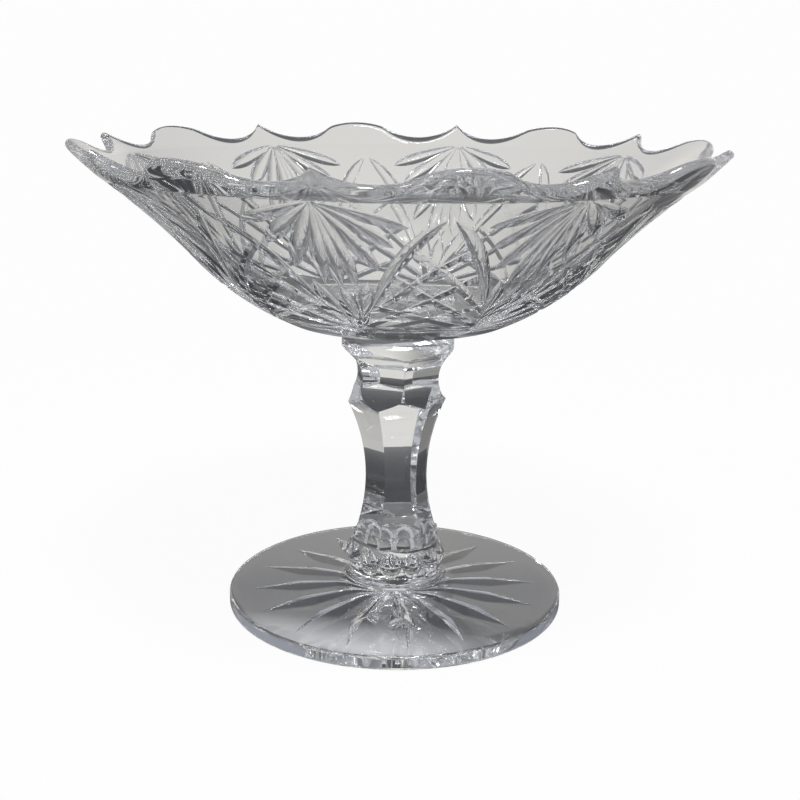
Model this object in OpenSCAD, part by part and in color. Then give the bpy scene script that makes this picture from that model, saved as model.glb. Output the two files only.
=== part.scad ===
// Footed compote in clear cut glass. A flared bowl with a scalloped rim stands on a
// six-sided stem and a round foot. The outside of the bowl is cut with fans, arches and
// lattices, and the underside of the foot with a star. The three pieces of glass are
// held together by two thin bonds. Millimetres, +Z up, origin under the middle of the foot.

/* [Bowl] */
// Height of the bowl from its underside to the crests of the rim
bowl_h = 56.8; // [54:0.2:62]
// Radius of the rim over its crests
rim_r = 102.5; // [100:0.5:106]
// Radius of the rim at its dips
rim_dip_r = 95.4; // [95:0.2:97.4]
// Angle from a point of the rim to the dip beside it
rim_dip_angle = 8.6; // [8:0.1:9.2]
// Radius of the hollow in each dip
rim_hollow_r = 24.5; // [22:0.5:28]
// Radius of the round of each crest
rim_crest_r = 23; // [22:0.5:27]
// Number of points around the rim, with a fan under each
rim_points = 8; // [7:1:9]
// Slope of the plain lip above the crease
lip_slope = 30; // [24:1:33]
// Radius of the crease between the lip and the cut wall
crease_r = 94.3; // [92:0.1:94.5]
// Thickness of the wall
wall_t = 4.5; // [4:0.1:5.5]
// Thickness of the floor
floor_t = 6.5; // [5:0.1:9]
// Radius of the flat underside
underside_r = 36; // [30:0.5:39]
// Radius where the round belly passes into the flared wall
belly_r = 64; // [60:0.5:68]
// Height of that place above the underside
belly_h = 19.4; // [17:0.1:22]
// How far the flared wall bows in between belly and crease
flare_bow = 1; // [0.6:0.1:1.6]

/* [Cutting] */
// Angle between the two sides of a mitre cut
mitre_angle = 110; // [100:1:125]
// Turn of the cutting on the bowl against the points of the rim
cut_turn = -1.4; // [-3:0.1:3]
// Cuts on each side of the middle ray of a fan
fan_side_rays = 4; // [3:1:4]
// Turn of the outermost ray of a fan from straight down
fan_spread = 62; // [50:1:66]
// Length of the middle ray of a fan
fan_long = 39.5; // [34:0.5:41]
// Length of the outermost ray of a fan
fan_short = 26; // [22:0.5:27]
// Width of a fan ray at its widest
fan_w = 5.4; // [4.6:0.1:6]
// Width left at the tips of a fan ray
fan_tip_w = 0.3; // [0.1:0.1:0.5]
// Distance from the crease to the start of the rays
fan_start = 1.6; // [1:0.1:3]
// Radius of the bowl at the top of an arch
arch_top_r = 89; // [85:0.5:90]
// Radius of the bowl at the foot of an arch
arch_foot_r = 43.5; // [42.5:0.5:47]
// Width of an arch limb at its widest
arch_w = 4.8; // [4:0.1:5.4]
// Width left at the tips of an arch limb
arch_tip_w = 0.3; // [0.1:0.1:0.5]
// Width of a lattice line
lattice_w = 1.8; // [1.4:0.1:2.2]
// Width of the small leaves between two arches
leaf_w = 3.6; // [2.6:0.1:4]
// Distance of the middle leaf from the feet of the arches and from the top of the belly
leaf_gap = 1.7; // [1.4:0.1:3]
// How far the side leaves start above the middle one
leaf_step = 5; // [4:0.5:7]

/* [Stem] */
// Height of the stem between its two bonds
stem_h = 85.4; // [80:0.2:92]
// Turn of the stem against the points of the rim
stem_turn = -8.5; // [-30:0.5:30]
// Radius of the round collar under the bowl
collar_r = 18.4; // [17:0.1:20]
// Height of the collar
collar_h = 7.2; // [6.6:0.1:8]
// Radius of the hollow under the collar
collar_hollow_r = 12; // [11:0.1:13]
// Distance from a neck facet to the axis at its narrowest
neck_r = 12.4; // [11.4:0.1:12.8]
// Radius of the hollow of a neck facet
neck_hollow_r = 11; // [10:0.5:14]
// Radius of the knop over its corners
knop_r = 17; // [16:0.1:18]
// Distance from a shaft face to the axis at the waist
waist_r = 9; // [8:0.1:9.8]
// Height of the waist above the base of the stem
waist_h = 32; // [30:0.1:34]
// Radius of the hollow of a shaft face
shaft_hollow_r = 66; // [62:1:72]
// Radius of the six-sided plinth over its corners
plinth_r = 14.3; // [13.6:0.1:14.4]
// Height of the plinth
plinth_h = 3.8; // [3:0.1:5]
// Radius over the petals at the base of the stem
petal_r = 16.9; // [16:0.1:18]
// Height of the row of petals
petal_h = 9.4; // [8.6:0.1:9.8]
// Radius of one petal
petal_ball_r = 5.2; // [5:0.1:5.6]
// Number of petals
petal_count = 12; // [11:1:13]
// Radius of the base of the stem on the foot
stem_base_r = 14.6; // [14.5:0.1:15]

/* [Foot] */
// Radius of the foot
foot_r = 56.5; // [52:0.5:62]
// Height of the foot from the table to the base of the stem
foot_h = 12; // [11:0.1:14]
// Thickness of the foot at its edge
foot_edge_t = 4.6; // [4:0.1:5.4]
// Height of the domed top of the foot at the stem
foot_dome_h = 6.8; // [6:0.1:8]
// Width of the margin of the foot's seat around the base of the stem
foot_seat_margin = 0.8; // [0.4:0.1:1.5]
// Bevel along the edges of the foot
foot_bevel = 0.7; // [0.4:0.1:1]
// Number of rays in the star
star_rays = 16; // [12:1:18]
// Radius of the star
star_r = 48.5; // [42:0.5:49]
// Radius at which the rays are widest
star_wide_r = 33; // [26:0.5:36]
// Width of a ray at its widest
star_w = 8.6; // [5:0.1:9]
// Width left at the outer tip of a ray
star_tip_w = 0.1; // [0.1:0.1:0.5]
// Radius of the small uncut boss in the middle of the star
star_boss_r = 3; // [2:0.1:5]
// Turn of the star against the points of the rim
star_turn = 17.3; // [0:0.1:22.5]

/* [Bonds] */
// Thickness of a bond
bond_t = 0.3; // [0.2:0.05:0.6]
// How far a bond stays back from the edge of its seat
bond_back = 0.6; // [0.3:0.1:1.2]

/* [Hidden] */
$fn = 96;
glass = [0.80, 0.83, 0.85];
bond_tint = [0.90, 0.92, 0.92];
mitre_slope = tan(mitre_angle / 2);
// How far cutting tools stand proud of the glass or run past it, and joined forms lap each other
proud = 1.4;
past = 4;
lap = 1;
petal_sink = 0.2;

// Heights of the stack
stem_z = foot_h + bond_t;
stem_top = stem_z + stem_h;
bowl_z = stem_top + bond_t;
bowl_top = bowl_z + bowl_h;

// Outer line of the bowl, from the round belly over the flared wall to the crease
lip_rise = tan(lip_slope);
crease_z = bowl_top - wall_t / cos(lip_slope) - (rim_r - crease_r) * lip_rise;
belly_z = bowl_z + belly_h;
belly_c = bowl_z + (belly_r * belly_r - underside_r * underside_r + belly_h * belly_h) / (2 * belly_h);
belly_ball = sqrt(underside_r * underside_r + (belly_c - bowl_z) * (belly_c - bowl_z));
chord = norm([crease_r - belly_r, crease_z - belly_z]);
chord_slope = atan2(crease_z - belly_z, crease_r - belly_r);
flare_r = (chord * chord / 4 + flare_bow * flare_bow) / (2 * flare_bow);
flare_c = [
    (crease_r + belly_r) / 2 + (flare_r - flare_bow) * sin(chord_slope),
    (crease_z + belly_z) / 2 - (flare_r - flare_bow) * cos(chord_slope)
];
belly_slope = asin(belly_r / belly_ball);
crease_slope = chord_slope - asin(chord / (2 * flare_r));
belly_in = [belly_r - wall_t * sin(belly_slope), belly_z + wall_t * cos(belly_slope)];
crease_in = [crease_r - wall_t * sin(crease_slope), crease_z + wall_t * cos(crease_slope)];
lip_in_rise = (bowl_top - crease_in.y) / (rim_r - crease_in.x);

// Middles of the hollows and crests of the scalloped rim
sector = 360 / rim_points;
side_leaf_turn = 0.147 * sector;
dip_c = rim_dip_r + rim_hollow_r;
crest_c = rim_r - rim_crest_r;
dip_ahead = dip_c * cos(sector / 2 - rim_dip_angle);
dip_aside = dip_c * sin(sector / 2 - rim_dip_angle);

// Heights on the stem
plinth_z = stem_z + petal_h;
shaft_z = plinth_z + plinth_h;
collar_z = stem_top - collar_h;
neck_z = collar_z - collar_hollow_r;
waist_z = stem_z + waist_h;
petal_in = stem_base_r - petal_r + petal_ball_r;
petal_z = plinth_z - sqrt(petal_ball_r * petal_ball_r - petal_in * petal_in) - petal_sink;
foot_seat_r = stem_base_r + foot_seat_margin;
foot_fillet_r = foot_h - foot_dome_h;

function wall_z(r) = r < belly_r
    ? belly_c - sqrt(belly_ball * belly_ball - r * r)
    : flare_c.y + sqrt(flare_r * flare_r - (r - flare_c.x) * (r - flare_c.x));
function wall_slope(r) = r < belly_r
    ? asin(r / belly_ball)
    : asin((flare_c.x - r) / flare_r);
function wall_point(q) = [q.x * cos(q.y), q.x * sin(q.y), wall_z(q.x)];
function wall_normal(q) = [
    sin(wall_slope(q.x)) * cos(q.y), sin(wall_slope(q.x)) * sin(q.y), -cos(wall_slope(q.x))
];
function unit(v) = v / norm(v);

// Corners of one cross-section of a mitre cut: its root and its two upper edges
function section(p, n, side, w) = let (d = w / 2 / mitre_slope, half = w / 2 + proud * mitre_slope)
    [p - n * d, p + n * proud + side * half, p + n * proud - side * half];

// A mitre cut that follows points with normals and widths
module mitre(pts, normals, widths) {
    last = len(pts) - 1;
    rows = [for (i = [0:last])
        let (ahead = unit(pts[min(i + 1, last)] - pts[max(i - 1, 0)]))
        section(pts[i], normals[i], unit(cross(normals[i], ahead)), widths[i])];
    corners = [for (row = rows) each row];
    ends = [[0, 1, 2], [3 * last, 3 * last + 2, 3 * last + 1]];
    sides = [for (i = [0:last - 1], k = [0:2])
        let (a = 3 * i + k, b = 3 * i + (k + 1) % 3)
        each [[a, b + 3, b], [a, a + 3, b + 3]]];
    polyhedron(corners, concat(ends, sides), convexity = 4);
}

// A mitre cut on the bowl's wall, through points given as radius and angle
module wall_mitre(path, widths) {
    mitre([for (q = path) wall_point(q)], [for (q = path) wall_normal(q)], widths);
}

// Ray k of a fan, in radius and angle, at a share of its length
function fan_turn(k) = fan_spread * pow(abs(k) / fan_side_rays, 1.6) * sign(k);
function fan_len(k) = fan_short + (fan_long - fan_short) * pow(cos(fan_turn(k)), 8);
function fan_point(k, s) =
    let (run = fan_start + (fan_len(k) - fan_start) * s)
    let (r = crease_r - run * cos(fan_turn(k)) * cos(chord_slope))
    [r, run * sin(fan_turn(k)) / r * 180 / PI];
module fan() {
    for (k = [-fan_side_rays:fan_side_rays])
        wall_mitre([for (s = [0, 0.66, 1]) fan_point(k, s)], [fan_tip_w, fan_w, fan_tip_w]);
}

// Limb of an arch, in radius and angle from the arch's middle, at a share of its height
function limb_point(s) = [
    arch_top_r + (arch_foot_r - arch_top_r) * s, sector / 2 * pow(s, 0.88)
];
module arch() {
    for (side = [-1, 1]) {
        wall_mitre([for (s = [0.02, 0.1, 0.24, 0.44, 0.62, 0.96]) let (q = limb_point(s)) [q.x, side * q.y]],
            [arch_tip_w, 0.75 * arch_w, arch_w, 0.75 * arch_w, 0.35 * arch_w, arch_tip_w]);
        for (ends = [[0.25, 0.74], [0.43, 0.92], [0.66, 0.98]])
            let (a = limb_point(ends[0]), b = limb_point(ends[1]))
            wall_mitre([for (t = [0, 0.5, 1]) [a.x + (b.x - a.x) * t, side * ((a.y + b.y) * t - a.y)]],
                [lattice_w, lattice_w, lattice_w]);
    }
}

// Three small leaves in the gap between two arches, under a fan
module leaves() {
    low = arch_foot_r + leaf_gap;
    tip = belly_r - leaf_gap;
    widths = [arch_tip_w, leaf_w, arch_tip_w];
    wall_mitre([[low, 0], [(low + 2 * tip) / 3, 0], [tip, 0]], widths);
    for (side = [-side_leaf_turn, side_leaf_turn])
        wall_mitre([[low + leaf_step, 0.3 * side], [(low + leaf_step + 2 * tip) / 3, 0.66 * side],
            [tip + leaf_step / 2, side]], widths);
}

// Upright tools that scallop the rim: two hollow dips beside each point, and the round of each crest
module rim_cuts() {
    for (i = [0:rim_points - 1]) {
        for (side = [-1, 1])
            rotate(i * sector + side * rim_dip_angle) translate([dip_c, 0, belly_z])
                cylinder(r = rim_hollow_r, h = bowl_h);
        rotate((i + 0.5) * sector) translate([0, 0, belly_z]) linear_extrude(bowl_h) difference() {
            polygon([[crest_c, 0], [dip_ahead, -dip_aside], [dip_ahead, dip_aside]]);
            translate([crest_c, 0]) circle(rim_crest_r);
        }
    }
}

// Half sections of the bowl's outside and of its inside
module bowl_outside() {
    intersection() {
        translate([0, belly_c]) circle(belly_ball);
        translate([0, bowl_z]) square([belly_r + past, belly_h - lap / 2]);
    }
    difference() {
        polygon([[0, belly_z - lap], [belly_r, belly_z - lap], [crease_r + lap, crease_z - lap],
            [crease_r + lap, bowl_top], [0, bowl_top]]);
        translate(flare_c) circle(flare_r);
    }
    polygon([[crease_r - lap, crease_z - lap * lip_rise],
        [rim_r, crease_z + (rim_r - crease_r) * lip_rise], [rim_r, bowl_top], [crease_r - lap, bowl_top]]);
}
module bowl_inside() {
    wide = rim_r + past;
    high = bowl_top + past;
    floor_z = bowl_z + floor_t;
    intersection() {
        translate([0, belly_c]) circle(belly_ball - wall_t);
        translate([0, floor_z]) square([belly_r, belly_in.y - lap / 2 - floor_z]);
    }
    difference() {
        polygon([[0, belly_in.y - lap], [belly_in.x, belly_in.y - lap],
            [crease_in.x + lap, crease_in.y - lap], [crease_in.x + lap, high], [0, high]]);
        translate(flare_c) circle(flare_r + wall_t);
    }
    polygon([[crease_in.x - lap, crease_in.y - lap * lip_in_rise],
        [wide, crease_in.y + (wide - crease_in.x) * lip_in_rise], [wide, high], [crease_in.x - lap, high]]);
}
module bowl() {
    color(glass) difference() {
        rotate_extrude() difference() {
            bowl_outside();
            bowl_inside();
        }
        rim_cuts();
        for (i = [0:rim_points - 1]) {
            rotate(i * sector + cut_turn) {
                fan();
                leaves();
            }
            rotate((i + 0.5) * sector + cut_turn) arch();
        }
    }
}

module bowl_bond() {
    color(bond_tint) translate([0, 0, stem_top])
        cylinder(r = min(collar_r, underside_r) - bond_back, h = bond_t);
}

// Half section of the turned blank above the plinth
module stem_blank() {
    root_z = shaft_z - lap;
    difference() {
        translate([0, root_z]) square([max(knop_r, collar_r), stem_top - root_z]);
        translate([knop_r, shaft_z - past]) square([collar_r, neck_z - shaft_z + past]);
        translate([neck_r / cos(30) + collar_hollow_r, neck_z]) intersection() {
            circle(collar_hollow_r);
            translate([-collar_hollow_r, 0]) square(2 * collar_hollow_r);
        }
    }
}
module stem() {
    color(glass) rotate(stem_turn) {
        difference() {
            rotate_extrude() stem_blank();
            for (i = [0:5]) {
                rotate(60 * i) translate([waist_r + shaft_hollow_r, 0, waist_z]) rotate([90, 0, 0])
                    cylinder(r = shaft_hollow_r, h = 4 * knop_r, center = true);
                rotate(60 * i + 30) translate([0, 2 * knop_r, 0]) rotate([90, 0, 0])
                    linear_extrude(4 * knop_r) translate([neck_r, neck_z]) neck_cut();
            }
        }
        translate([0, 0, plinth_z]) rotate(30) cylinder(r = plinth_r, h = plinth_h, $fn = 6);
        translate([0, 0, stem_z]) cylinder(r = stem_base_r, h = petal_h);
        intersection() {
            union() for (i = [0:petal_count - 1])
                rotate((i + 0.5) * 360 / petal_count) translate([petal_r - petal_ball_r, 0, petal_z])
                    sphere(petal_ball_r);
            translate([0, 0, stem_z]) cylinder(r = petal_r + past, h = petal_h);
        }
    }
}
// Section of a neck facet's cut: a long hollow below its narrowest place, a short one above
module neck_cut() {
    intersection() {
        translate([neck_hollow_r, 0]) circle(neck_hollow_r);
        translate([0, -neck_hollow_r]) square([2 * neck_hollow_r, neck_hollow_r]);
    }
    intersection() {
        translate([collar_hollow_r, 0]) circle(collar_hollow_r);
        square(2 * collar_hollow_r);
    }
}

module foot_bond() {
    color(bond_tint) translate([0, 0, foot_h]) cylinder(r = stem_base_r - bond_back, h = bond_t);
}

// Half section of the foot, with a hollow fillet from its domed top up to the seat
module foot_section() {
    fillet_c = foot_seat_r + foot_fillet_r;
    difference() {
        polygon([[0, 0], [foot_r - foot_bevel, 0], [foot_r, foot_bevel],
            [foot_r, foot_edge_t - foot_bevel], [foot_r - foot_bevel, foot_edge_t],
            [fillet_c, foot_dome_h], [fillet_c, foot_h], [0, foot_h]]);
        translate([fillet_c, foot_h]) circle(foot_fillet_r);
    }
}
module foot() {
    down = [0, 0, -1];
    color(glass) difference() {
        rotate_extrude() foot_section();
        for (i = [0:star_rays - 1])
            rotate(star_turn + i * 360 / star_rays)
                mitre([for (r = [star_boss_r, star_wide_r, star_r]) [r, 0, 0]], [down, down, down],
                    [star_w * star_boss_r / star_wide_r, star_w, star_tip_w]);
    }
}

bowl();
bowl_bond();
stem();
foot_bond();
foot();
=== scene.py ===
import math

import bpy
import numpy as np
from mathutils import Matrix


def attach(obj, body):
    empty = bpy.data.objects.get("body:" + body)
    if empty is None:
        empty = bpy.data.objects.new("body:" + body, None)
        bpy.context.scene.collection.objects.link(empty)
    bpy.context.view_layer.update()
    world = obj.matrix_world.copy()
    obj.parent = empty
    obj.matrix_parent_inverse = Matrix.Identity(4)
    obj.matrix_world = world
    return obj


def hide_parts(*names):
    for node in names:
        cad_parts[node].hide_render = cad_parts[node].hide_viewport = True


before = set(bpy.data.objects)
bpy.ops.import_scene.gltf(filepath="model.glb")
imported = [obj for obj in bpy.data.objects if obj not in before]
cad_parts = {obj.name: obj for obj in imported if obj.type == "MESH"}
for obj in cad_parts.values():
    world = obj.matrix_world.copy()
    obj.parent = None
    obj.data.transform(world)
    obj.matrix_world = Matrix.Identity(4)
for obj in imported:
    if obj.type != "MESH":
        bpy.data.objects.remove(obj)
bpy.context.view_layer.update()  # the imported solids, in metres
scene = bpy.context.scene
millimetre = 0.001
hair = 0.01  # in millimetres, less than shows
print("frame:", ", ".join(sorted(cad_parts)))


# Camera, at the place from which the photograph shows rim and foot
cameraSet = {
    "distance": 0.4068,  # from the axis, along the floor
    "height": 0.1808,
    "around": 12.48,  # degrees round the axis from straight ahead
    "pan": -0.13,
    "tilt": 74.749,
    "roll": 0.80,
    "lens": 57.16, "sensor": 36,
}


def placeCamera(s):
    lens = bpy.data.cameras.new("camera")
    lens.lens, lens.sensor_width = s["lens"], s["sensor"]
    camera = bpy.data.objects.new("camera", lens)
    scene.collection.objects.link(camera)
    a = math.radians(s["around"])
    turn = (Matrix.Rotation(math.radians(s["around"] + s["pan"]), 4, "Z")
            @ Matrix.Rotation(math.radians(s["tilt"]), 4, "X")
            @ Matrix.Rotation(math.radians(s["roll"]), 4, "Z"))
    place = (s["distance"] * math.sin(a), -s["distance"] * math.cos(a), s["height"])
    camera.matrix_world = Matrix.Translation(place) @ turn
    scene.camera = camera


placeCamera(cameraSet)
print("camera placed")


# Mesh helpers: points come in millimetres
def newPiece(name, points, faces, surfaces=()):
    mesh = bpy.data.meshes.new(name)
    mesh.from_pydata(np.asarray(points, float) * millimetre, [], faces)
    mesh.update()
    for surface in surfaces:
        mesh.materials.append(surface)
    piece = bpy.data.objects.new(name, mesh)
    scene.collection.objects.link(piece)
    return piece


def turnedPoints(rows, columns):
    # rows of (radius, height); a radius may be a list with one value per column
    angles = np.linspace(0, 2 * math.pi, columns, endpoint=False)
    points = []
    for radius, height in rows:
        r = np.broadcast_to(np.asarray(radius, float), columns)
        z = np.broadcast_to(np.asarray(height, float), columns)
        points.append(np.stack([r * np.cos(angles), r * np.sin(angles), z], 1))
    return np.concatenate(points)


def turnedFaces(rowCount, columns):
    # rows run from the lowest middle, up the outside and back to the upper middle
    faces = []
    for i in range(rowCount - 1):
        for j in range(columns):
            k = (j + 1) % columns
            low, high = i * columns, (i + 1) * columns
            faces.append((low + j, low + k, high + k, high + j))
    first, last = rowCount * columns, rowCount * columns + 1
    for j in range(columns):
        k = (j + 1) % columns
        faces.append((k, j, first))
        faces.append(((rowCount - 1) * columns + j, (rowCount - 1) * columns + k, last))
    return faces


def turnedPiece(name, rows, columns, surfaces=()):
    points = turnedPoints(rows, columns)
    ends = [[0, 0, points[0][2]], [0, 0, points[-1][2]]]
    return newPiece(name, np.concatenate([points, ends]), turnedFaces(len(rows), columns), surfaces)


def prism(name, outline, across, surfaces=()):
    # outline in (x, z), drawn against the clock as seen from -y, pushed through from -across to +across
    n = len(outline)
    points = [(x, -across, z) for x, z in outline] + [(x, across, z) for x, z in outline]
    faces = [tuple(range(n)), tuple(range(2 * n - 1, n - 1, -1))]
    faces += [(i, n + i, n + (i + 1) % n, (i + 1) % n) for i in range(n)]
    return newPiece(name, points, faces, surfaces)


def combine(piece, tools, operation):
    bench = bpy.data.collections.new("bench")
    scene.collection.children.link(bench)
    for tool in tools:
        scene.collection.objects.unlink(tool)
        bench.objects.link(tool)
    step = piece.modifiers.new("cut", "BOOLEAN")
    step.operand_type, step.collection = "COLLECTION", bench
    step.operation, step.solver = operation, "MANIFOLD"
    done = bpy.data.meshes.new_from_object(piece.evaluated_get(bpy.context.evaluated_depsgraph_get()))
    piece.modifiers.clear()
    raw, piece.data = piece.data, done
    done.name = piece.name
    bpy.data.meshes.remove(raw)
    for tool in tools:
        shape = tool.data
        bpy.data.objects.remove(tool)
        bpy.data.meshes.remove(shape)
    bpy.data.collections.remove(bench)


# Cutting wheels: each leaves its own section, from left to right, as offset and depth for a width
wheelSet = {
    "proud": 1.4,  # how far a wheel stands out of the wall
    "mitreAngle": 110, "mitreRoot": 0.4, "mitreSteps": 6,  # the V of the star
    "flute": 0.22, "fluteSteps": 8,  # a round hollow's depth as a share of its width
    "lineAngle": 138,  # the shallow V of the lattices
    "leafFull": 0.7,  # below 1 a leaf is fuller towards its tips
}


def mitreLine(width):  # V with a rounded root
    tilt = math.radians(90 - wheelSet["mitreAngle"] / 2)
    root = min(wheelSet["mitreRoot"], width / 4)
    middle = width / 2 * math.tan(tilt) - root / math.cos(tilt)
    turns = np.linspace(-tilt, tilt, wheelSet["mitreSteps"] + 1)
    arc = [(root * math.sin(t), middle + root * math.cos(t)) for t in turns]
    return [(-width / 2, 0)] + arc + [(width / 2, 0)]


def fluteLine(width):  # round hollow
    deep = wheelSet["flute"] * width
    r = (width ** 2 / 4 + deep ** 2) / (2 * deep)
    edge = math.asin(width / 2 / r)
    turns = np.linspace(-edge, edge, wheelSet["fluteSteps"] + 1)
    return [(r * math.sin(t), r * math.cos(t) - r + deep) for t in turns]


def latticeLine(width):  # shallow V
    deep = width / 2 / math.tan(math.radians(wheelSet["lineAngle"] / 2))
    return [(-width / 2, 0), (0, deep), (width / 2, 0)]


def wheelTool(line, points, normals, widths):
    # follows points on a wall, with its normals and a width at each point
    points, normals = np.asarray(points, float), np.asarray(normals, float)
    side = np.cross(normals, np.gradient(points, axis=0))
    side /= np.linalg.norm(side, axis=1)[:, None]
    rows = []
    for point, normal, aside, width in zip(points, normals, side, widths):
        cut = line(width)
        spread = wheelSet["proud"] * (cut[1][0] - cut[0][0]) / (cut[1][1] - cut[0][1])
        cut = cut + [(width / 2 + spread, -wheelSet["proud"]), (-width / 2 - spread, -wheelSet["proud"])]
        rows += [point + aside * x - normal * deep for x, deep in cut]
    count, last = len(cut), len(points) - 1
    faces = [tuple(reversed(range(count))), tuple(count * last + k for k in range(count))]
    for i in range(last):
        for k in range(count):
            a, b = count * i + k, count * i + (k + 1) % count
            faces.append((a, b, b + count, a + count))
    return cutSkin(newPiece("wheel", rows, faces, skins))


def cutSkin(tool):
    count = len(tool.data.polygons)
    tool.data.polygons.foreach_set("material_index", np.full(count, cutSlot, np.int32))
    return tool


def leafWidths(shares, widest, tip, full):
    # a leaf's width along its length, widest at one share of it
    rising, falling = shares / widest * 0.5, 0.5 + (shares - widest) / (1 - widest) * 0.5
    bent = np.clip(np.where(shares < widest, rising, falling), 0, 1)
    return tip + (full - tip) * np.sin(bent * math.pi) ** wheelSet["leafFull"]


def arcRow(centre, radius, start, end, count):
    turns = np.radians(np.linspace(start, end, count))
    return [(centre[0] + radius * math.cos(t), centre[1] + radius * math.sin(t)) for t in turns]


# Surfaces: one group makes the marks of polishing, and each glass places it with its own values
polishSet = {"cordDetail": 2, "wipeDetail": 5, "wipeFiner": 9, "waveDeep": 0.0002}


def polishGroup(s):
    group = bpy.data.node_groups.new("polishMarks", "ShaderNodeTree")
    face = group.interface
    for name, value in (("Tint", None), ("Streak", None), ("Scale", 60.0), ("Haze", 0.02)):
        kind = "NodeSocketColor" if value is None else "NodeSocketFloat"
        socket = face.new_socket(name, in_out="INPUT", socket_type=kind)
        if value is not None:
            socket.default_value = value
    face.new_socket("Color", in_out="OUTPUT", socket_type="NodeSocketColor")
    face.new_socket("Roughness", in_out="OUTPUT", socket_type="NodeSocketFloat")
    face.new_socket("Height", in_out="OUTPUT", socket_type="NodeSocketFloat")
    nodes, links = group.nodes, group.links
    given, made = nodes.new("NodeGroupInput"), nodes.new("NodeGroupOutput")
    place = nodes.new("ShaderNodeTexCoord")
    cords = nodes.new("ShaderNodeTexNoise")  # slow streaks in the melt
    cords.inputs["Detail"].default_value = s["cordDetail"]
    links.new(place.outputs["Object"], cords.inputs["Vector"])
    links.new(given.outputs["Scale"], cords.inputs["Scale"])
    blend = nodes.new("ShaderNodeMix")
    blend.data_type = "RGBA"
    links.new(cords.outputs["Fac"], blend.inputs["Factor"])
    links.new(given.outputs["Tint"], blend.inputs["A"])
    links.new(given.outputs["Streak"], blend.inputs["B"])
    links.new(blend.outputs["Result"], made.inputs["Color"])
    finer = nodes.new("ShaderNodeMath")
    finer.operation, finer.inputs[1].default_value = "MULTIPLY", s["wipeFiner"]
    links.new(given.outputs["Scale"], finer.inputs[0])
    wipes = nodes.new("ShaderNodeTexNoise")  # fine marks that the polish left
    wipes.inputs["Detail"].default_value = s["wipeDetail"]
    links.new(place.outputs["Object"], wipes.inputs["Vector"])
    links.new(finer.outputs["Value"], wipes.inputs["Scale"])
    haze = nodes.new("ShaderNodeMath")
    haze.operation = "MULTIPLY"
    links.new(wipes.outputs["Fac"], haze.inputs[0])
    links.new(given.outputs["Haze"], haze.inputs[1])
    links.new(haze.outputs["Value"], made.inputs["Roughness"])
    links.new(cords.outputs["Fac"], made.inputs["Height"])
    return group


polishMarks = polishGroup(polishSet)


def clearGlass(name, s):
    surface = bpy.data.materials.new(name)
    surface.use_nodes = True
    nodes, links = surface.node_tree.nodes, surface.node_tree.links
    shader = nodes["Principled BSDF"]
    shader.inputs["Transmission Weight"].default_value = 1
    shader.inputs["Metallic"].default_value = 0
    shader.inputs["IOR"].default_value = s["ior"]
    shader.inputs["Alpha"].default_value = s["alpha"]
    marks = nodes.new("ShaderNodeGroup")
    marks.node_tree = polishMarks
    marks.inputs["Tint"].default_value = (*s["tint"], 1)
    marks.inputs["Streak"].default_value = (*s["streak"], 1)
    marks.inputs["Scale"].default_value = s["scale"]
    marks.inputs["Haze"].default_value = s["haze"]
    links.new(marks.outputs["Color"], shader.inputs["Base Color"])
    links.new(marks.outputs["Roughness"], shader.inputs["Roughness"])
    if s["wave"]:
        wave = nodes.new("ShaderNodeBump")
        wave.inputs["Strength"].default_value = s["wave"]
        wave.inputs["Distance"].default_value = polishSet["waveDeep"]
        links.new(marks.outputs["Height"], wave.inputs["Height"])
        links.new(wave.outputs["Normal"], shader.inputs["Normal"])
    return surface


firePolished = clearGlass("firePolished", {
    "ior": 1.53, "alpha": 1.0, "tint": (0.975, 0.975, 0.97), "streak": (0.95, 0.955, 0.96),
    "scale": 45.0, "haze": 0.02, "wave": 0.05})
wheelCut = clearGlass("wheelCut", {
    "ior": 1.53, "alpha": 1.0, "tint": (0.965, 0.965, 0.965), "streak": (0.92, 0.93, 0.94),
    "scale": 160.0, "haze": 0.06, "wave": 0.08})
clearBond = clearGlass("clearBond", {  # the same glass on both sides of a seat, so light goes straight on
    "ior": 1.5, "alpha": 0.0, "tint": (1.0, 1.0, 1.0), "streak": (0.985, 0.985, 0.98),
    "scale": 90.0, "haze": 0.0, "wave": 0})
skins = (firePolished, wheelCut, clearBond)  # every piece of glass has these three
cutSlot, seatSlot = 1, 2
print("surfaces made")


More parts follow.
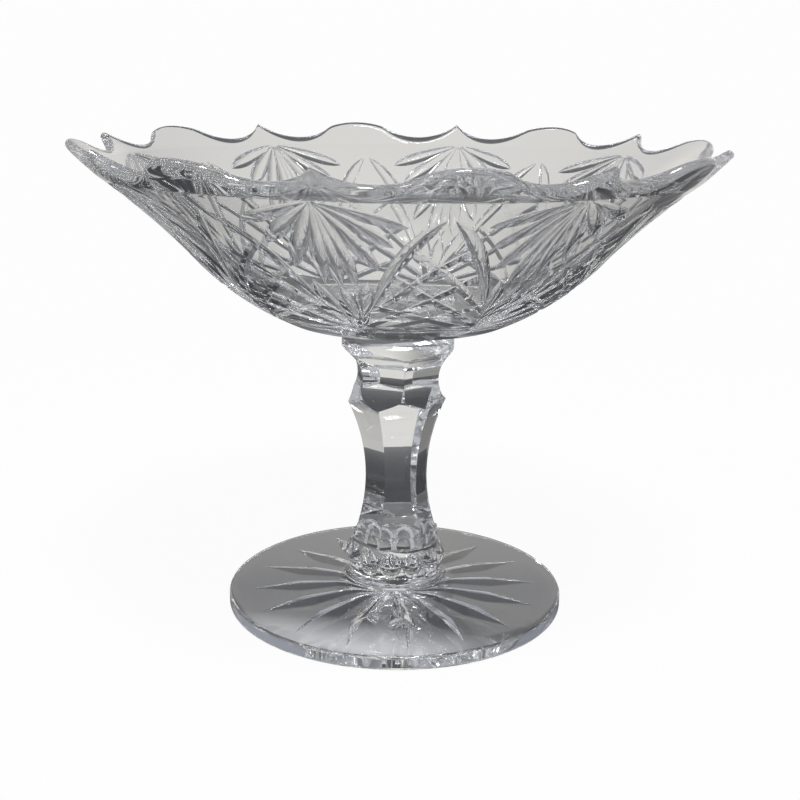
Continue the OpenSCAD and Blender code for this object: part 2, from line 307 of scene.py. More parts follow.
# Bowl: turned wall with a scalloped rim, cut with fans, arches, lattices and leaves
bowlSet = {
    "z": 98.0, "undersideR": 36.0, "jointR": 18.4, "wall": 4.5, "floor": 6.5, "floorRound": 10.0,
    "top": 154.38,  # sets the slope inside the lip; the crests end 0.4 above it
    "bellyR": 64.0, "bellyH": 19.4, "flareBow": 1.0, "creaseR": 94.3, "creaseH": 47.3,
    "rimR": 102.5, "points": 8, "dipR": 95.4, "dipAngle": 8.6, "hollowR": 24.5, "crestR": 23.0,
    "rimRound": 1.9, "rimShare": 0.96,  # at most this share of the upright edge is rounded
    "seamH": 55.0, "seamRound": 0.6, "dipRound": 1.8, "seamShare": 0.9,  # and this share of the lip
    "cutTurn": -1.4, "tipW": 0.3,
    "fanSide": 4, "fanSpread": 62.0, "fanLong": 39.5, "fanShort": 26.0, "fanW": 5.4, "fanStart": 1.6,
    "fanWidest": 0.66, "fanGather": 1.6, "fanTaper": 8, "fanSteps": 13,
    "archTopR": 89.0, "archFootR": 43.5, "archW": 4.8, "archBend": 0.88, "archSteps": 29,
    "archShares": (0.02, 0.06, 0.12, 0.24, 0.36, 0.5, 0.66, 0.96),  # along a limb, from its top
    "archFull": (0, 0.5, 0.8, 1, 0.88, 0.6, 0.28, 0),  # share of the full width there
    "lattice": ((0.25, 0.74), (0.43, 0.92), (0.66, 0.98)),  # lines from limb to limb, by their shares
    "latticeW": 2.8, "latticeSteps": 9,
    "leafW": 5.4, "leafGap": 1.7, "leafTop": 65.6, "leafStep": 3.0, "leafTurn": 6.6, "leafWidest": 0.6,
    "leafRoot": 0.3, "leafSteps": 9,
    "sharp": 16, "perPoint": 48,  # columns of the mesh for each point of the rim
    "middleR": 3, "seatRow": 9, "jointGap": 0.05, "underRows": (24, 30), "underGap": 0.3,
    "bellyRows": 15, "flareRows": 17, "lipRows": (0.08, 0.3, 0.55, 0.8), "seamRows": 7,
    "edgeRows": (0.35, 0.7), "crestRows": 13, "lipInRows": (0.1, 0.4, 0.7, 1.0), "flareInRows": 13,
    "bellyInRows": 9, "cornerRows": 6, "floorRows": (0.7, 0.35), "slopeTries": 8,
}


def bowlLines(s):
    # circles of belly and flare, and the corners between them, as the solid has them
    w = dict(s)
    w["creaseZ"] = s["z"] + s["creaseH"]
    w["bellyZ"] = s["z"] + s["bellyH"]
    w["bellyC"] = s["z"] + (s["bellyR"] ** 2 - s["undersideR"] ** 2 + s["bellyH"] ** 2) / (2 * s["bellyH"])
    w["ball"] = math.hypot(s["undersideR"], w["bellyC"] - s["z"])
    dr, dz = s["creaseR"] - s["bellyR"], w["creaseZ"] - w["bellyZ"]
    chord = math.hypot(dr, dz)
    w["slope"] = math.atan2(dz, dr)
    w["flareR"] = (chord ** 2 / 4 + s["flareBow"] ** 2) / (2 * s["flareBow"])
    back = w["flareR"] - s["flareBow"]
    w["flareC"] = ((s["creaseR"] + s["bellyR"]) / 2 + back * math.sin(w["slope"]),
                   (w["creaseZ"] + w["bellyZ"]) / 2 - back * math.cos(w["slope"]))
    creaseSlope = math.asin((w["flareC"][0] - s["creaseR"]) / w["flareR"])
    w["creaseIn"] = (s["creaseR"] - s["wall"] * math.sin(creaseSlope),
                     w["creaseZ"] + s["wall"] * math.cos(creaseSlope))
    w["leanIn"] = 0.0
    for _ in range(s["slopeTries"]):  # a crest with its full round would just reach the top
        lift = s["rimRound"] * (math.tan(math.pi / 4 + w["leanIn"] / 2) - 1)
        w["riseIn"] = (s["top"] + lift - w["creaseIn"][1]) / (s["rimR"] - w["creaseIn"][0])
        w["leanIn"] = math.atan(w["riseIn"])
    return w


def wallZ(w, r):
    r = np.asarray(r, float)
    belly = w["bellyC"] - np.sqrt(np.maximum(w["ball"] ** 2 - r ** 2, 0))
    flare = w["flareC"][1] + np.sqrt(np.maximum(w["flareR"] ** 2 - (r - w["flareC"][0]) ** 2, 0))
    return np.where(r < w["bellyR"], belly, flare)


def wallSlope(w, r):
    r = np.asarray(r, float)
    belly = np.arcsin(np.clip(r / w["ball"], -1, 1))
    flare = np.arcsin(np.clip((w["flareC"][0] - r) / w["flareR"], -1, 1))
    return np.where(r < w["bellyR"], belly, flare)


def wallCut(w, line, radii, degrees, widths):
    r, a = np.asarray(radii, float), np.radians(degrees)
    slope = wallSlope(w, r)
    points = np.stack([r * np.cos(a), r * np.sin(a), wallZ(w, r)], 1)
    normals = np.stack([np.sin(slope) * np.cos(a), np.sin(slope) * np.sin(a), -np.cos(slope)], 1)
    return wheelTool(line, points, normals, widths)


def rimRadius(w, degrees):
    # radius of the scalloped edge: hollow dips beside each point, a round crest between points
    sector = 360 / w["points"]
    off = np.abs((np.asarray(degrees) + sector / 2) % sector - sector / 2)
    toDip, toCrest = np.radians(off - w["dipAngle"]), np.radians(sector / 2 - off)
    dipC, crestC = w["dipR"] + w["hollowR"], w["rimR"] - w["crestR"]
    inDip = w["hollowR"] ** 2 - (dipC * np.sin(toDip)) ** 2
    dip = np.where(inDip > 0, dipC * np.cos(toDip) - np.sqrt(np.maximum(inDip, 0)), dipC)
    inCrest = w["crestR"] ** 2 - (crestC * np.sin(toCrest)) ** 2
    crest = crestC * np.cos(toCrest) + np.sqrt(np.maximum(inCrest, 0))
    away = np.radians(sector / 2 - w["dipAngle"])  # where a crest's circle meets a dip's
    lean = np.arctan2(dipC * np.sin(away), dipC * np.cos(away) - crestC)
    meet = np.arctan2(w["crestR"] * np.sin(lean), crestC + w["crestR"] * np.cos(lean))
    return np.where(toCrest < meet, np.minimum(crest, dip), dip)


def bowlRows(w, columns):
    degrees = np.arange(columns) * 360 / columns
    rim = rimRadius(w, degrees)
    flat = (w["middleR"], w["seatRow"], w["jointR"] - w["jointGap"], w["jointR"] + w["jointGap"],
            *w["underRows"], w["undersideR"] - w["underGap"])
    rows = [(r, w["z"]) for r in flat]
    belly = np.linspace(w["undersideR"], w["bellyR"], w["bellyRows"])
    flare = np.linspace(w["bellyR"], w["creaseR"], w["flareRows"])[1:]
    rows += [(r, float(wallZ(w, r))) for r in (*belly, *flare)]
    # lip: a sloped band from the crease, a rounded seam, an upright edge and a rounded crest
    dipShare = np.clip((w["rimR"] - rim) / (w["rimR"] - w["dipR"]), 0, 1)
    seamZ = w["creaseZ"] + (rim - w["creaseR"]) * (w["seamH"] - w["creaseH"]) / (w["rimR"] - w["creaseR"])
    seam = w["seamRound"] + (w["dipRound"] - w["seamRound"]) * dipShare
    turn = np.pi / 2 - np.arctan2(seamZ - w["creaseZ"], rim - w["creaseR"])
    seam = np.minimum(seam, w["seamShare"] * (rim - w["creaseR"]) / (1 - np.cos(turn)))
    step = seam * np.tan(turn / 2)
    firstR, firstZ = rim - seam + seam * np.cos(turn), seamZ + step - seam * np.sin(turn)
    for share in w["lipRows"]:
        rows.append((w["creaseR"] + (firstR - w["creaseR"]) * share,
                     w["creaseZ"] + (firstZ - w["creaseZ"]) * share))
    for bend in np.linspace(1, 0, w["seamRows"]):
        rows.append((rim - seam + seam * np.cos(turn * bend), seamZ + step - seam * np.sin(turn * bend)))
    topZ = w["creaseIn"][1] + (rim - w["creaseIn"][0]) * w["riseIn"]
    reach = math.tan(math.pi / 4 + w["leanIn"] / 2)
    high = np.minimum(w["rimRound"], (topZ - seamZ - step) * w["rimShare"] / reach)
    highR, highC = rim - high, topZ - high * reach
    for share in w["edgeRows"]:
        rows.append((rim, seamZ + step + (highC - seamZ - step) * share))
    for bend in np.linspace(0, math.pi / 2 + w["leanIn"], w["crestRows"]):
        rows.append((highR + high * math.cos(bend), highC + high * math.sin(bend)))
    # inside: lip, flare, belly, eased corner, floor
    endIn = highR - high * math.sin(w["leanIn"])
    for share in w["lipInRows"]:
        r = endIn + (w["creaseIn"][0] - endIn) * share
        rows.append((r, w["creaseIn"][1] + (r - w["creaseIn"][0]) * w["riseIn"]))
    insideR = w["flareR"] + w["wall"]
    bellyInR = w["bellyR"] - w["wall"] * math.sin(float(wallSlope(w, w["bellyR"] - hair)))
    for r in np.linspace(w["creaseIn"][0], bellyInR, w["flareInRows"])[1:]:
        rows.append((r, w["flareC"][1] + math.sqrt(insideR ** 2 - (r - w["flareC"][0]) ** 2)))
    ball, floorZ = w["ball"] - w["wall"], w["z"] + w["floor"]
    ease = w["floorRound"]  # circle that touches the floor and the inside of the belly
    easeR = math.sqrt((ball - ease) ** 2 - (w["bellyC"] - floorZ - ease) ** 2)
    touch = math.atan2(w["bellyC"] - floorZ - ease, easeR)
    touchR = ball * math.cos(touch)
    for r in np.linspace(bellyInR, touchR, w["bellyInRows"])[1:]:
        rows.append((r, w["bellyC"] - math.sqrt(ball ** 2 - r ** 2)))
    for bend in np.linspace(-touch, -math.pi / 2, w["cornerRows"])[1:]:
        rows.append((easeR + ease * math.cos(bend), floorZ + ease + ease * math.sin(bend)))
    rows += [(easeR * share, floorZ) for share in w["floorRows"]] + [(w["middleR"], floorZ)]
    return rows


def fanTools(w, middle):
    tools = []
    shares = np.linspace(0, 1, w["fanSteps"])
    widths = leafWidths(shares, w["fanWidest"], w["tipW"], w["fanW"])
    for k in range(-w["fanSide"], w["fanSide"] + 1):
        spread = math.radians(w["fanSpread"]) * (abs(k) / w["fanSide"]) ** w["fanGather"]
        turn = spread if k >= 0 else -spread
        long = w["fanShort"] + (w["fanLong"] - w["fanShort"]) * math.cos(turn) ** w["fanTaper"]
        run = w["fanStart"] + (long - w["fanStart"]) * shares
        r = w["creaseR"] - run * math.cos(turn) * math.cos(w["slope"])
        tools.append(wallCut(w, fluteLine, r, middle + np.degrees(run * math.sin(turn) / r), widths))
    return tools


def limb(w, share):  # radius and turn at a share of an arch limb
    sector = 360 / w["points"]
    share = np.asarray(share, float)
    return w["archTopR"] + (w["archFootR"] - w["archTopR"]) * share, sector / 2 * share ** w["archBend"]


def archTools(w, middle):
    tools = []
    shares = np.linspace(w["archShares"][0], w["archShares"][-1], w["archSteps"])
    full = np.interp(shares, w["archShares"], w["archFull"])
    widths = w["tipW"] + (w["archW"] - w["tipW"]) * full
    t, lines = np.linspace(0, 1, w["latticeSteps"]), np.full(w["latticeSteps"], w["latticeW"])
    for side in (-1, 1):
        r, a = limb(w, shares)
        tools.append(wallCut(w, fluteLine, r, middle + side * a, widths))
        for start, end in w["lattice"]:
            (r0, a0), (r1, a1) = limb(w, start), limb(w, end)
            across = middle + side * ((a0 + a1) * t - a0)
            tools.append(wallCut(w, latticeLine, r0 + (r1 - r0) * t, across, lines))
    return tools


def leafTools(w, middle):
    low, tip = w["archFootR"] + w["leafGap"], w["leafTop"]
    shares = np.linspace(0, 1, w["leafSteps"])
    widths = leafWidths(shares, w["leafWidest"], w["tipW"], w["leafW"])
    tools = [wallCut(w, fluteLine, low + (tip - low) * shares, np.full(len(shares), float(middle)), widths)]
    start, end = low + w["leafStep"], tip + w["leafGap"]
    for side in (-w["leafTurn"], w["leafTurn"]):
        apart = middle + side * (w["leafRoot"] + (1 - w["leafRoot"]) * shares)
        tools.append(wallCut(w, fluteLine, start + (end - start) * shares, apart, widths))
    return tools


def shadeBowl(piece, w):
    # the wall keeps its true turned shade between the cuts, the cuts keep sharp edges
    mesh = piece.data
    mesh.shade_smooth()
    mesh.set_sharp_from_angle(angle=math.radians(w["sharp"]))
    count = len(mesh.polygons)
    centres, normals = np.empty(count * 3), np.empty(count * 3)
    mesh.polygons.foreach_get("center", centres)
    mesh.polygons.foreach_get("normal", normals)
    centres, normals = centres.reshape(-1, 3) / millimetre, normals.reshape(-1, 3)
    kinds, totals = np.empty(count, np.int32), np.empty(count, np.int32)
    mesh.polygons.foreach_get("material_index", kinds)
    mesh.polygons.foreach_get("loop_total", totals)
    reach = np.hypot(centres[:, 0], centres[:, 1])
    wall = (kinds == 0) & (normals[:, 2] < 0) & (reach > w["undersideR"]) & (reach < w["creaseR"])
    corners = np.empty(len(mesh.loops), np.int32)
    mesh.loops.foreach_get("vertex_index", corners)
    places = np.empty(len(mesh.vertices) * 3)
    mesh.vertices.foreach_get("co", places)
    places = places.reshape(-1, 3)[corners] / millimetre
    r, a = np.hypot(places[:, 0], places[:, 1]), np.arctan2(places[:, 1], places[:, 0])
    slope = wallSlope(w, r)
    shade = np.stack([np.sin(slope) * np.cos(a), np.sin(slope) * np.sin(a), -np.cos(slope)], 1)
    shade[~np.repeat(wall, totals)] = 0  # the rest shades from its own faces
    mesh.normals_split_custom_set(shade)


def makeBowl(s):
    w = bowlLines(s)
    columns = w["points"] * w["perPoint"]
    bowl = turnedPiece("compoteBowl", bowlRows(w, columns), columns, skins)
    tools = []
    for i in range(w["points"]):
        middle = i * 360 / w["points"] + w["cutTurn"]
        tools += fanTools(w, middle) + leafTools(w, middle) + archTools(w, middle + 180 / w["points"])
    combine(bowl, tools, "DIFFERENCE")
    for face in bowl.data.polygons:  # the seat on the stem
        c = face.center / millimetre
        if abs(c.z - w["z"]) < hair and math.hypot(c.x, c.y) < w["jointR"]:
            face.material_index = seatSlot
    shadeBowl(bowl, w)
    return bowl


bowl = makeBowl(bowlSet)
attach(bowl, "root")
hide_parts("bowl")
print("bowl cut:", len(bowl.data.polygons), "faces")


# Stem: turned blank with six hollow faces, a staggered neck, a plinth and petals
stemSet = {
    "z": 12.3, "top": 97.7, "turn": -8.5, "sides": 6, "baseR": 14.6, "sharp": 14, "columns": 192,
    "collarR": 18.4, "collarH": 7.2, "collarHollow": 12.0, "neckR": 12.4, "neckHollow": 11.0, "knopR": 17.0,
    "waistR": 9.0, "waistH": 32.0, "shaftHollow": 66.0, "shaftArc": (140, 220),
    "plinthR": 14.3, "plinthH": 3.8,
    "petalR": 16.9, "petalH": 9.4, "petals": 12, "petalWide": 3.9, "petalHigh": 5.2, "petalMiddle": 0.45,
    "petalTip": 0.05, "petalRows": 33, "petalColumns": 40,
    "collarRows": 14, "shaftRows": 65, "neckRows": 25, "upperRows": 13, "knopRow": 6,
    "lowR": 8, "highR": 9, "coreR": 6, "lap": 1,  # innermost rows of each turned form, and how far they lap
    "reach": 4,  # the cutters reach out this many times the knop's radius
}


def turnPiece(piece, degrees):
    piece.data.transform(Matrix.Rotation(math.radians(degrees), 4, "Z"))
    return piece


def makePlinth(s, low, high):
    sides = s["sides"]
    turns = [math.radians(360 / sides * i) for i in range(sides)]
    corners = [(s["plinthR"] * math.cos(t), s["plinthR"] * math.sin(t)) for t in turns]
    points = [(x, y, low) for x, y in corners] + [(x, y, high) for x, y in corners]
    faces = [tuple(reversed(range(sides))), tuple(range(sides, 2 * sides))]
    for i in range(sides):
        k = (i + 1) % sides
        faces.append((i, k, sides + k, sides + i))
    return turnPiece(newPiece("plinth", points, faces, skins), 180 / sides)


def makePetals(s):
    petals = []
    middle = s["petalH"] * s["petalMiddle"]
    arc = (s["petalHigh"] ** 2 + s["petalWide"] ** 2) / (2 * s["petalWide"])
    for i in range(s["petals"]):
        rows = []  # a pointed oval, cut off level with the foot and the plinth
        for t in np.linspace(-1, 1, s["petalRows"]):
            reach = s["petalHigh"] * t
            r = math.sqrt(arc ** 2 - reach ** 2) - arc + s["petalWide"]
            if 0 < middle + reach < s["petalH"]:
                rows.append((max(r, s["petalTip"]), s["z"] + middle + reach))
        petal = turnedPiece("petal", rows, s["petalColumns"], skins)
        petal.data.transform(Matrix.Translation(((s["petalR"] - s["petalWide"]) * millimetre, 0, 0)))
        petals.append(turnPiece(petal, (i + 0.5) * 360 / s["petals"]))
    return petals


def makeStem(s):
    plinthZ = s["z"] + s["petalH"]
    shaftZ = plinthZ + s["plinthH"]
    neckZ = s["top"] - s["collarH"] - s["collarHollow"]
    waistZ = s["z"] + s["waistH"]
    half = 180 / s["sides"]
    hollowC = s["neckR"] / math.cos(math.radians(half)) + s["collarHollow"]
    bend = math.degrees(math.acos((hollowC - s["collarR"]) / s["collarHollow"]))
    rows = [(s["lowR"], shaftZ - s["lap"]), (s["knopR"], shaftZ - s["lap"]),
            (s["knopR"], neckZ - s["knopRow"]), (s["knopR"], neckZ)]
    rows += arcRow((hollowC, neckZ), s["collarHollow"], 180, 180 - bend, s["collarRows"])
    rows += [(s["collarR"], s["top"]), (s["highR"], s["top"])]
    stem = turnedPiece("compoteStem", rows, s["columns"], skins)
    tools = []
    deep = s["reach"] * s["knopR"]
    shaft = arcRow((s["waistR"] + s["shaftHollow"], waistZ), s["shaftHollow"], *s["shaftArc"], s["shaftRows"])
    shaft = [(deep, shaft[-1][1]), (deep, shaft[0][1])] + shaft
    lower = arcRow((s["neckR"] + s["neckHollow"], neckZ), s["neckHollow"], 270, 180, s["neckRows"])
    upper = arcRow((s["neckR"] + s["collarHollow"], neckZ), s["collarHollow"], 180, 90, s["upperRows"])[1:]
    neck = (lower + upper + [(deep, upper[-1][1]), (deep, lower[0][1])])[::-1]
    for i in range(s["sides"]):
        tools.append(cutSkin(turnPiece(prism("shaftFace", shaft, deep / 2, skins), 2 * half * i)))
        tools.append(cutSkin(turnPiece(prism("neckFace", neck, deep / 2, skins), 2 * half * i + half)))
    combine(stem, tools, "DIFFERENCE")
    # six-sided plinth, round base and a row of petals, joined to the shaft
    line = [(s["coreR"], s["z"]), (s["baseR"], s["z"]), (s["baseR"], plinthZ), (s["coreR"], plinthZ)]
    base = turnedPiece("base", line, s["columns"], skins)
    combine(stem, [makePlinth(s, plinthZ, shaftZ), base] + makePetals(s), "UNION")
    turnPiece(stem, s["turn"])
    for face in stem.data.polygons:  # the seats at both ends
        height = face.center.z / millimetre
        if min(abs(height - s["z"]), abs(height - s["top"])) < hair:
            face.material_index = seatSlot
    stem.data.shade_smooth()
    stem.data.set_sharp_from_angle(angle=math.radians(s["sharp"]))
    return stem


stem = makeStem(stemSet)
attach(stem, "root")
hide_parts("stem")
print("stem cut:", len(stem.data.polygons), "faces")


# Foot: a low dome with eased edges and a fillet up to the seat, a star cut into its underside
footSet = {
    "r": 56.5, "h": 12.0, "edgeT": 4.6, "domeH": 6.8, "seatR": 15.4, "jointR": 14.6,
    "edgeRound": 0.9, "edgeTurn": 84,  # the upper edge turns this far, up to the slope of the dome
    "rays": 16, "starR": 48.5, "wideR": 33.0, "starW": 8.6, "bossR": 3.0, "turn": 17.3, "tipW": 0.1,
    "underRows": (1.5, 12, 24, 36, 48, 53), "edgeRows": 7, "domeRows": 8, "filletRows": 14,
    "seatRows": (7, 1.5), "raySteps": 15, "sharp": 14, "columns": 256,
}


def makeFoot(s):
    ease = s["edgeRound"]
    fillet = s["h"] - s["domeH"]
    rows = [(r, 0.0) for r in s["underRows"]]
    rows += arcRow((s["r"] - ease, ease), ease, -90, 0, s["edgeRows"])
    rows += arcRow((s["r"] - ease, s["edgeT"] - ease), ease, 0, s["edgeTurn"], s["edgeRows"])
    start, end = rows[-1], (s["seatR"] + fillet, s["domeH"])
    for t in np.linspace(0, 1, s["domeRows"])[1:]:
        rows.append((start[0] + (end[0] - start[0]) * t, start[1] + (end[1] - start[1]) * t))
    rows += arcRow((s["seatR"] + fillet, s["h"]), fillet, 270, 180, s["filletRows"])[1:]
    rows += [(r, s["h"]) for r in (s["jointR"], *s["seatRows"])]
    foot = turnedPiece("compoteFoot", rows, s["columns"], skins)
    along = s["bossR"] + (s["starR"] - s["bossR"]) * np.linspace(0, 1, s["raySteps"])
    inner = s["starW"] * along / s["wideR"]
    outer = s["tipW"] + (s["starW"] - s["tipW"]) * (s["starR"] - along) / (s["starR"] - s["wideR"])
    widths = np.where(along < s["wideR"], inner, outer)
    points = np.stack([along, along * 0, along * 0], 1)
    down = np.tile([0.0, 0.0, -1.0], (len(along), 1))
    tools = []
    for i in range(s["rays"]):
        tools.append(turnPiece(wheelTool(mitreLine, points, down, widths), s["turn"] + i * 360 / s["rays"]))
    combine(foot, tools, "DIFFERENCE")
    for face in foot.data.polygons:  # the seat under the stem
        c = face.center / millimetre
        if abs(c.z - s["h"]) < hair and math.hypot(c.x, c.y) < s["jointR"]:
            face.material_index = seatSlot
    foot.data.shade_smooth()
    foot.data.set_sharp_from_angle(angle=math.radians(s["sharp"]))
    return foot


foot = makeFoot(footSet)
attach(foot, "root")
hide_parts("foot")
print("foot cut:", len(foot.data.polygons), "faces")

# Bonds: the CAD discs, in the clear cured bond
for name in ("bowl_bond", "foot_bond"):
    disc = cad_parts[name].data
    disc.materials.clear()
    disc.materials.append(clearBond)
print("bonds finished")


# Stage: a pale floor under soft light; the glass shows the floor with painted shadow, painted light and
# painted sheen, and the backdrop in tones of its own
stageSet = {
    "floorR": 0.52, "floorRings": (0.02, 0.1, 0.3), "columns": 192, "drop": 0.0001,
    "pale": (0.72, 0.715, 0.70), "satin": 0.5,
    "floorGlow": {"Is Camera Ray": 0.96},  # share of plain white
    "floorSeen": {"Is Glossy Ray": 1, "Is Transmission Ray": 1},  # share of the floor's painted shade, light and sheen
    "floorPaintedShadeLight": [  # painted shade and light, place from front to back and colour there: a painted pool of light just before the foot, painted shadow under the foot and behind the compote
        (-0.52, (0.40, 0.41, 0.44)), (-0.08, (0.50, 0.51, 0.54)), (-0.05, (0.74, 0.75, 0.77)),
        (-0.028, (0.05, 0.051, 0.054)), (0.13, (0.055, 0.056, 0.06)), (0.52, (0.19, 0.19, 0.193)),
    ],
    "touch": (0.14, 0.14, 0.143), "touchNear": 0.0002, "touchFar": 0.0008,  # painted light where glass rests flat on it, so the grooves of the star keep the painted shadow
    "above": (0.55, 0.55, 0.545), "aboveFrom": 0.14, "aboveTo": 0.04,  # painted sheen: a paler tone where glass shows the floor steeply from above, darker at grazing angles
    "farFrom": 0.01, "farTo": 0.03,  # and how far from it that begins
    "skyGlow": {"Is Camera Ray": 0.98},
    "skySeen": {"Is Glossy Ray": 1, "Is Transmission Ray": 1},
    "skyLight": (0.20, 0.20, 0.205),  # light from all around
    "backdrop": [  # height of a direction, colour there
        (-1.0, (0.76, 0.748, 0.715)), (0.32, (0.74, 0.728, 0.70)), (0.43, (0.40, 0.41, 0.44)),
        (0.7, (0.32, 0.335, 0.38)), (1.0, (0.26, 0.28, 0.33)),
    ],
    "front": (0.50, 0.51, 0.54), "frontFrom": 0.1, "frontTo": -0.3,  # the side before the compote
    "sideDim": 0.36, "sideFrom": 0.3, "sideTo": 0.75,  # the backdrop falls off to both sides
    "lamps": [  # name, place, width, watts
        ("topLamp", (0.22, -0.55, 1.55), 0.45, 24.0),
        ("sideLamp", (-0.75, -0.5, 0.9), 0.25, 2.0),
    ],
    "aim": (0, 0, 0.08),  # where the lamps point
    "bounces": 48,  # light passes many faces of glass
}


def glowShare(nodes, links, shares):
    # the largest share that holds for a ray
    rays = nodes.new("ShaderNodeLightPath")
    total = None
    for kind, share in shares.items():
        part = nodes.new("ShaderNodeMath")
        part.operation, part.inputs[1].default_value = "MULTIPLY", share
        links.new(rays.outputs[kind], part.inputs[0])
        if total is not None:
            most = nodes.new("ShaderNodeMath")
            most.operation = "MAXIMUM"
            links.new(total, most.inputs[0])
            links.new(part.outputs[0], most.inputs[1])
            part = most
        total = part.outputs[0]
    return total


def colourRamp(nodes, stops, low, high):
    # colours placed along a range of values
    ramp = nodes.new("ShaderNodeValToRGB")
    marks = ramp.color_ramp.elements
    while len(marks) < len(stops):
        marks.new(0.5)
    for mark, (value, colour) in zip(marks, stops):
        mark.position, mark.color = (value - low) / (high - low), (*colour, 1)
    return ramp


def spanned(nodes, links, value, low, high):
    span = nodes.new("ShaderNodeMapRange")
    span.inputs["From Min"].default_value, span.inputs["From Max"].default_value = low, high
    links.new(value, span.inputs["Value"])
    return span


def paleSurface(s):
    surface = bpy.data.materials.new("paleSatinPaintedShade")
    surface.use_nodes = True
    nodes, links = surface.node_tree.nodes, surface.node_tree.links
    paint = nodes["Principled BSDF"]
    paint.inputs["Base Color"].default_value = (*s["pale"], 1)
    paint.inputs["Roughness"].default_value = s["satin"]
    place, split = nodes.new("ShaderNodeTexCoord"), nodes.new("ShaderNodeSeparateXYZ")
    links.new(place.outputs["Object"], split.inputs["Vector"])
    # painted shadow and painted light laid on the floor by its place from front to back, shown only to glass
    ramp = colourRamp(nodes, s["floorPaintedShadeLight"], -s["floorR"], s["floorR"])
    along = spanned(nodes, links, split.outputs["Y"], -s["floorR"], s["floorR"])
    links.new(along.outputs["Result"], ramp.inputs["Fac"])
    # painted light: a lighter tone where the glass touches the floor, judged by how short the last ray is
    rays, touch = nodes.new("ShaderNodeLightPath"), nodes.new("ShaderNodeMix")
    touch.data_type, touch.blend_type = "RGBA", "LIGHTEN"
    touch.inputs["B"].default_value = (*s["touch"], 1)
    near = spanned(nodes, links, rays.outputs["Ray Length"], s["touchFar"], s["touchNear"])
    links.new(near.outputs["Result"], touch.inputs["Factor"])
    links.new(ramp.outputs["Color"], touch.inputs["A"])
    # painted sheen: the floor turns paler where the glass shows it steeply and from afar
    lean, share = nodes.new("ShaderNodeLayerWeight"), nodes.new("ShaderNodeMath")
    above = nodes.new("ShaderNodeMix")
    steep = spanned(nodes, links, lean.outputs["Facing"], s["aboveFrom"], s["aboveTo"])
    far = spanned(nodes, links, rays.outputs["Ray Length"], s["farFrom"], s["farTo"])
    share.operation, above.data_type = "MULTIPLY", "RGBA"
    links.new(steep.outputs["Result"], share.inputs[0])
    links.new(far.outputs["Result"], share.inputs[1])
    above.inputs["B"].default_value = (*s["above"], 1)
    links.new(share.outputs["Value"], above.inputs["Factor"])
    links.new(touch.outputs["Result"], above.inputs["A"])
    # an emission that shows the glass the floor's painted shade, light and sheen, beside one of plain white
    shade, white = nodes.new("ShaderNodeEmission"), nodes.new("ShaderNodeEmission")
    links.new(above.outputs["Result"], shade.inputs["Color"])
    last = paint.outputs["BSDF"]
    for shown, shares in ((shade, s["floorSeen"]), (white, s["floorGlow"])):
        mix = nodes.new("ShaderNodeMixShader")
        links.new(glowShare(nodes, links, shares), mix.inputs["Fac"])
        links.new(last, mix.inputs[1])
        links.new(shown.outputs["Emission"], mix.inputs[2])
        last = mix.outputs["Shader"]
    links.new(last, nodes["Material Output"].inputs["Surface"])
    return surface


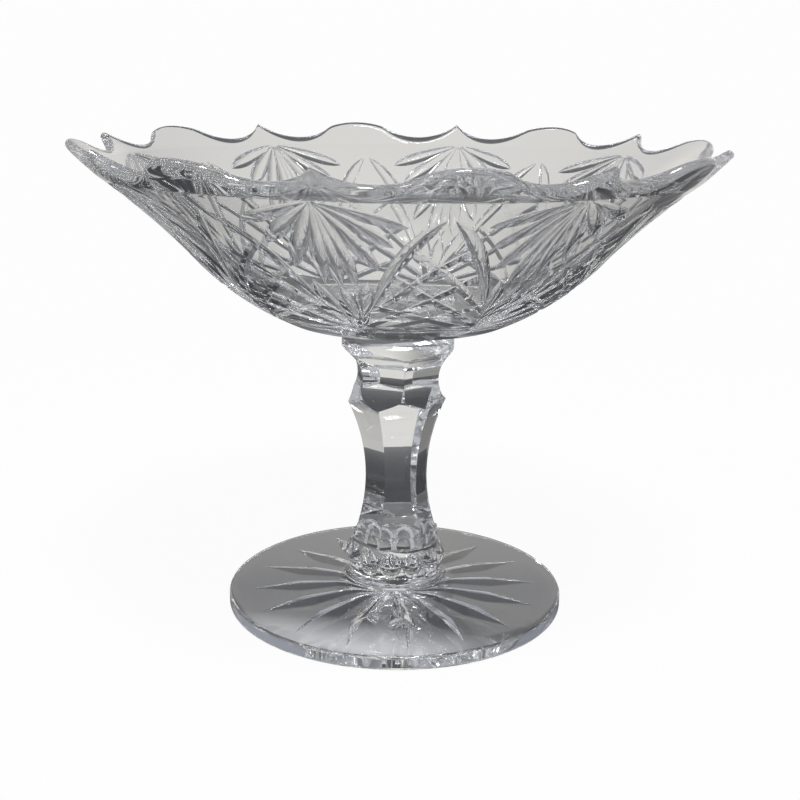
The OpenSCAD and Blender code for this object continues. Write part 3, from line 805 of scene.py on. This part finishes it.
def softSky(s):
    sky = bpy.data.worlds.new("softSky")
    sky.use_nodes = True
    nodes, links = sky.node_tree.nodes, sky.node_tree.links
    place = nodes.new("ShaderNodeTexCoord")
    split = nodes.new("ShaderNodeSeparateXYZ")
    links.new(place.outputs["Generated"], split.inputs["Vector"])
    ramp = colourRamp(nodes, s["backdrop"], -1, 1)
    upward = spanned(nodes, links, split.outputs["Z"], -1, 1)
    links.new(upward.outputs["Result"], ramp.inputs["Fac"])
    aside = nodes.new("ShaderNodeMath")
    aside.operation = "ABSOLUTE"
    links.new(split.outputs["X"], aside.inputs[0])
    fall = spanned(nodes, links, aside.outputs[0], s["sideFrom"], s["sideTo"])
    fall.interpolation_type = "SMOOTHSTEP"
    fall.inputs["To Min"].default_value, fall.inputs["To Max"].default_value = 1, s["sideDim"]
    dim = nodes.new("ShaderNodeVectorMath")
    dim.operation = "SCALE"
    links.new(ramp.outputs["Color"], dim.inputs["Vector"])
    links.new(fall.outputs["Result"], dim.inputs["Scale"])
    before = nodes.new("ShaderNodeMix")
    before.data_type = "RGBA"
    before.inputs["B"].default_value = (*s["front"], 1)
    ahead = spanned(nodes, links, split.outputs["Y"], s["frontFrom"], s["frontTo"])
    links.new(ahead.outputs["Result"], before.inputs["Factor"])
    links.new(dim.outputs["Vector"], before.inputs["A"])
    shown = nodes.new("ShaderNodeMix")
    shown.data_type = "RGBA"
    shown.inputs["A"].default_value = (*s["skyLight"], 1)
    links.new(glowShare(nodes, links, s["skySeen"]), shown.inputs["Factor"])
    links.new(before.outputs["Result"], shown.inputs["B"])
    blend = nodes.new("ShaderNodeMix")
    blend.data_type = "RGBA"
    blend.inputs["B"].default_value = (1, 1, 1, 1)
    links.new(glowShare(nodes, links, s["skyGlow"]), blend.inputs["Factor"])
    links.new(shown.outputs["Result"], blend.inputs["A"])
    links.new(blend.outputs["Result"], nodes["Background"].inputs["Color"])
    scene.world = sky


def lampTurn(back):
    # turn that points a lamp's front away from back
    z = back / np.linalg.norm(back)
    x = np.cross([0, 1, 0], z)
    x /= np.linalg.norm(x)
    y = np.cross(z, x)
    return Matrix(np.stack([x, y, z], 1).tolist()).to_4x4()


def makeStage(s):
    low, columns = -s["drop"] / millimetre, s["columns"]
    rows = [(r / millimetre, low) for r in (*s["floorRings"], s["floorR"])]
    lid = len(rows) * columns + 1  # left off: the floor is a single sheet
    faces = [f for f in turnedFaces(len(rows), columns) if lid not in f]
    points = np.concatenate([turnedPoints(rows, columns), [[0, 0, low]]])
    ground = newPiece("paleFloor", points, [tuple(reversed(f)) for f in faces], (paleSurface(s),))
    softSky(s)
    for name, place, width, watts in s["lamps"]:
        lamp = bpy.data.lights.new(name, "AREA")
        lamp.shape, lamp.size, lamp.energy = "SQUARE", width, watts
        light = bpy.data.objects.new(name, lamp)
        scene.collection.objects.link(light)
        light.matrix_world = Matrix.Translation(place) @ lampTurn(np.subtract(place, s["aim"]))


makeStage(stageSet)
scene.view_settings.view_transform = "Standard"
scene.cycles.max_bounces = stageSet["bounces"]
scene.cycles.transmission_bounces = stageSet["bounces"]
scene.cycles.glossy_bounces = stageSet["bounces"]
scene.cycles.transparent_max_bounces = stageSet["bounces"]
scene.cycles.caustics_refractive = False
print("stage set")

bpy.context.view_layer.update()
